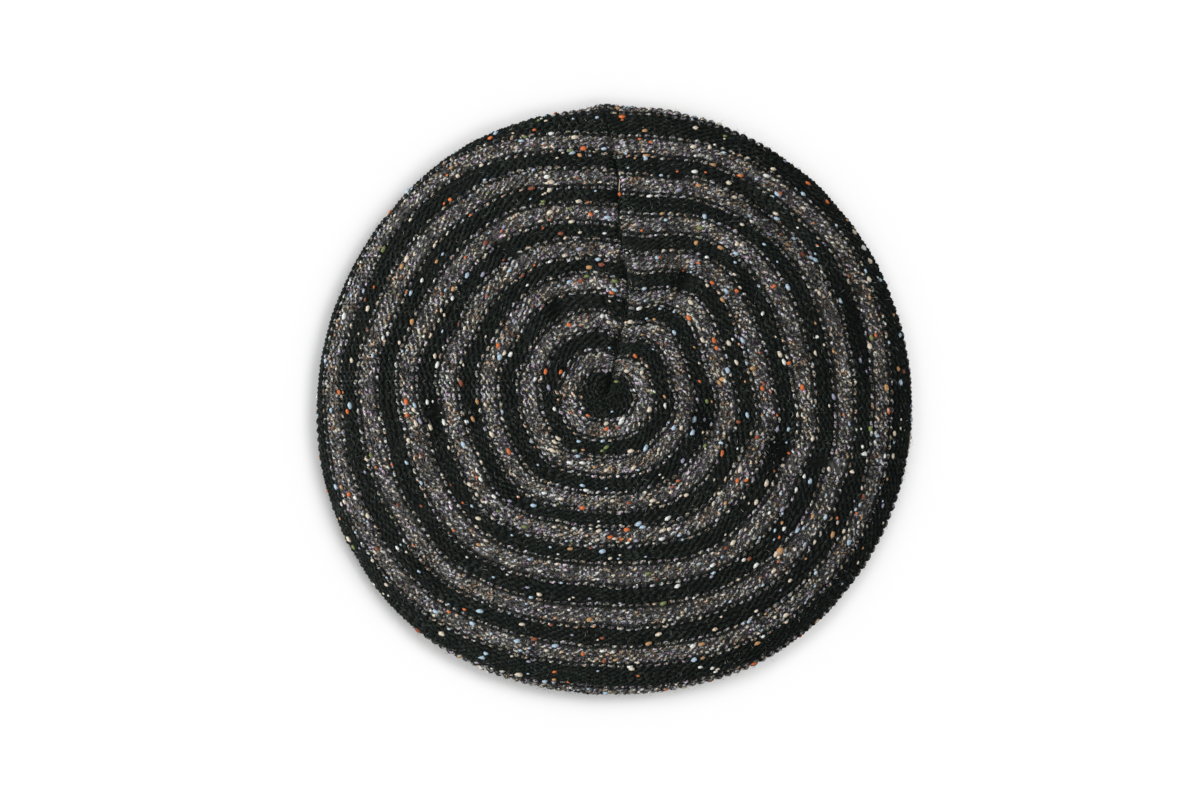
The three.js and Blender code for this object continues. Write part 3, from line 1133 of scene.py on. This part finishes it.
# %% Sew the seam
SEWING_YARN = 0.52
SEWING_STEP = 0.5
SEWING_SWING = 0.35  # from edge to edge
SEWING_DIP = 0.25
SEWN_FROM, SEWN_SHORT = 12.0, 6.0  # it starts this far from the centre, and ends before the band


def sewing_yarn():
    """The yarn from the centre to the band: points along it, outward directions and radii."""
    sewn = np.arange(SEWN_FROM, face_length[0] - SEWN_SHORT, SEWING_STEP)
    swing = SEWING_SWING * np.sin(TURN * sewn / (2 * ROW_PITCH))
    place, normal = on_cloth(seam_angle(sewn) + swing / np.maximum(sewn, 20), sewn)
    rows = np.minimum((sewn - FIRST_ROW) / ROW_PITCH, ROWS - 1)
    furrow = np.array([seam_furrow(0.0, row) for row in rows])
    depth = 0.5 + 0.65 * furrow.clip(0) + furrow.clip(None, 0)
    depth += SEWING_DIP * np.cos(TURN * sewn / ROW_PITCH)
    line = place - normal * depth[:, None]
    line[:, 2] = np.maximum(line[:, 2], SEWING_YARN)
    return line, normal, np.full(len(sewn), SEWING_YARN)


yarn_piece("seam_yarn", [sewing_yarn()], 6, CHARCOAL_WOOL)
print("seam yarn:", triangles["seam_yarn"], "triangles")

# %% [markdown]
# ## Straw
# Raw wool brings bits of straw with it, and spinning never gets rid of all of them. One thin straw
# sticks out of the seam. It is a stiff tube like the yarns, thinner at both ends, and pale enough
# to be seen on the charcoal.

# %% The straw at the seam
STRAW_LENGTH = 5.4
STRAW_RADIUS = 0.16


def straw(right, back, degrees):
    """A stiff thin tube that lies on the stitches and lifts a little at one end."""
    way = heading(math.radians(degrees))
    share = np.linspace(-0.5, 0.5, 7)
    spots = head_centre + np.array([right, back]) + way * (share * STRAW_LENGTH)[:, None]
    tops = np.array([ray((*spot, FAR_UP), (0, 0, -1))[2] for spot in spots])
    height = tops.max() + STANDS_PROUD + 0.25 + 0.5 * (share + 0.5) ** 2
    line = np.column_stack([spots, height])
    return line, np.tile([0.0, 0.0, 1.0], (len(line), 1)), STRAW_RADIUS * (1.15 - np.abs(share))


def straw_shell():
    """Pale straw with darker lengths."""
    finish = Finish("straw")
    grain = finish.noise(finish.place(), 700.0, 2.0)
    shade = finish.shades(grain, [(0.3, (0.38, 0.27, 0.12)), (0.6, (0.80, 0.66, 0.40))])
    return finish.surface(shade, {"Roughness": 0.6}, grain)


yarn_piece("straw_bits", [straw(right=2.2, back=101.2, degrees=3)], 4, straw_shell())
print("straw:", triangles["straw_bits"], "triangles")

# %% [markdown]
# ## Fuzz
# Every wool yarn lets go of some fibres. They cross the stitches in all directions and stand over
# the rim as a soft edge. Blender's hair could grow them, but it is not a mesh that can be handed
# on. Each one here is a bent tube, thinner at its root and thinnest at its tip.

# %% Let fibres stand off the yarn
FIBRES = 4600
FIBRE_RADIUS = 0.055
FIBRE_ENDS = np.array([0.4, 1.0, 0.1])  # root, middle and tip, as shares of the radius


def fibre(row):
    """A loose fibre from somewhere on a row: a bent line that lifts off the stitches."""
    line, normal, radius = knitted[row]
    root = int(chance.integers(1, len(line) - 1))
    along = unit(line[root + 1] - line[root - 1])
    side = np.cross(normal[root], along)
    turned = TURN * chance.random()
    way = math.cos(turned) * along + math.sin(turned) * side
    across = math.cos(turned) * side - math.sin(turned) * along
    reach = 1.6 + 2.6 * chance.random() ** 2  # most are short
    bend = 0.5 * chance.normal()
    lift = 1.0 + 1.8 * chance.random()
    share = np.array([[0.0], [0.5], [1.0]])
    flat = reach * share * way + bend * share**2 * across
    path = line[root] + flat + normal[root] * (radius[root] + lift * share * (1.2 - share))
    path[:, 2] = np.maximum(path[:, 2], FIBRE_RADIUS)
    return path, np.tile(normal[root], (3, 1)), FIBRE_RADIUS * FIBRE_ENDS


def fuzz_wool():
    """Fibres of every shade in the yarn: one low note of noise gives each its own."""
    finish = Finish("loose fibres")
    shades = [
        (0.36, (0.03, 0.027, 0.025)),
        (0.48, (0.13, 0.12, 0.11)),
        (0.58, (0.32, 0.32, 0.33)),
        (0.70, (0.70, 0.66, 0.60)),
    ]
    colour = finish.shades(finish.noise(finish.place(), 330.0, 1.0), shades)
    return finish.surface(colour, {"Roughness": 0.8, "Specular IOR Level": 0.2})


fibre_rows = chance.choice(NUB_ROWS, size=FIBRES, p=row_lengths / row_lengths.sum())
yarn_piece("loose_fibres", [fibre(int(row)) for row in fibre_rows], 3, fuzz_wool())
print(FIBRES, "fibres; the beret has", sum(triangles.values()), "triangles in all")

# %% [markdown]
# ## Floor, light and camera
# The beret lies on plain white paper. Dark wool needs more light than white paper bears, and one
# set of lamps for both would bleach the paper or drown the stitches. So the beret and the floor
# have lamps of their own. A window on the left shows the relief of the stitches, and a softbox
# overhead opens the shadows. Six weak, wide skylights stand round the floor, so that the beret's
# shadow is soft and shows on all sides, most of it in front left.

# %% Floor
FLOOR_REACH = 40  # metres, to fill any view


def white_paper():
    """Paper without any gloss."""
    settings = {"Roughness": 1.0, "Specular IOR Level": 0.0}
    return Finish("white paper").surface((0.8, 0.8, 0.8, 1), settings)


corner_signs = ((-1, -1), (1, -1), (1, 1), (-1, 1))
floor_corners = [(x * FLOOR_REACH, y * FLOOR_REACH, 0) for x, y in corner_signs]
floor_mesh = bpy.data.meshes.new("floor")
floor_mesh.from_pydata(floor_corners, [], [(0, 1, 2, 3)])
floor_mesh.materials.append(white_paper())
floor = show("floor", floor_mesh)
floor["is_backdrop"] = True
print("floor:", 2 * FLOOR_REACH, "m wide")

# %% Light
world = bpy.data.worlds.new("soft room")
bpy.context.scene.world = world
world.use_nodes = True
world.node_tree.nodes["Background"].inputs["Color"].default_value = (1, 1, 1, 1)
world.node_tree.nodes["Background"].inputs["Strength"].default_value = 0.36


def place_lamp(name, lamp, place, only):
    """Points a lamp at the beret from a place in metres. It lights some things only."""
    holder = show(name, lamp)
    holder.location = place
    holder.rotation_euler = (-Vector(place)).to_track_quat("-Z", "Y").to_euler()
    lit = bpy.data.collections.new(f"lit by {name}")
    for thing in only:
        lit.objects.link(thing)
    holder.light_linking.receiver_collection = lit


def softbox(name, place, side, watts):
    """A square lamp near the beret, which lights its pieces."""
    lamp = bpy.data.lights.new(name, "AREA")
    lamp.energy, lamp.size = watts, side
    place_lamp(name, lamp, place, only=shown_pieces())


def skylight(name, place, wide, strength):
    """A lamp as far off as the sky and so many degrees wide, which lights the floor evenly."""
    lamp = bpy.data.lights.new(name, "SUN")
    lamp.energy, lamp.angle = strength, math.radians(wide)
    place_lamp(name, lamp, place, only=[floor])


softbox("window on the left", (-1.3, 0.05, 0.8), side=0.5, watts=22.3)
softbox("softbox overhead", (0.1, 0.1, 1.6), side=0.9, watts=10)
SKYLIGHTS = 6
SKY_STRENGTH, SKY_LEANING = 0.575, 0.9  # of each on the whole, and how unlike they are
STRONGEST_SKYLIGHT = math.radians(50)  # clockwise from the back
for number in range(SKYLIGHTS):
    angle = number * TURN / SKYLIGHTS
    strength = SKY_STRENGTH * (1 + SKY_LEANING * math.cos(angle - STRONGEST_SKYLIGHT))
    skylight(f"skylight {number + 1}", (*heading(angle), 1.48), wide=26, strength=strength)
bpy.context.scene.view_settings.view_transform = "Standard"
print("lamps:", len(bpy.data.lights))

# %% Camera
lens = bpy.data.cameras.new("camera")
lens.lens = 85
lens.sensor_width = 36
camera = show("camera", lens)
camera.location = (-0.0068, 0, 1.342)  # straight above, looking down
bpy.context.scene.camera = camera
print("camera height:", round(camera.location.z, 3), "m")
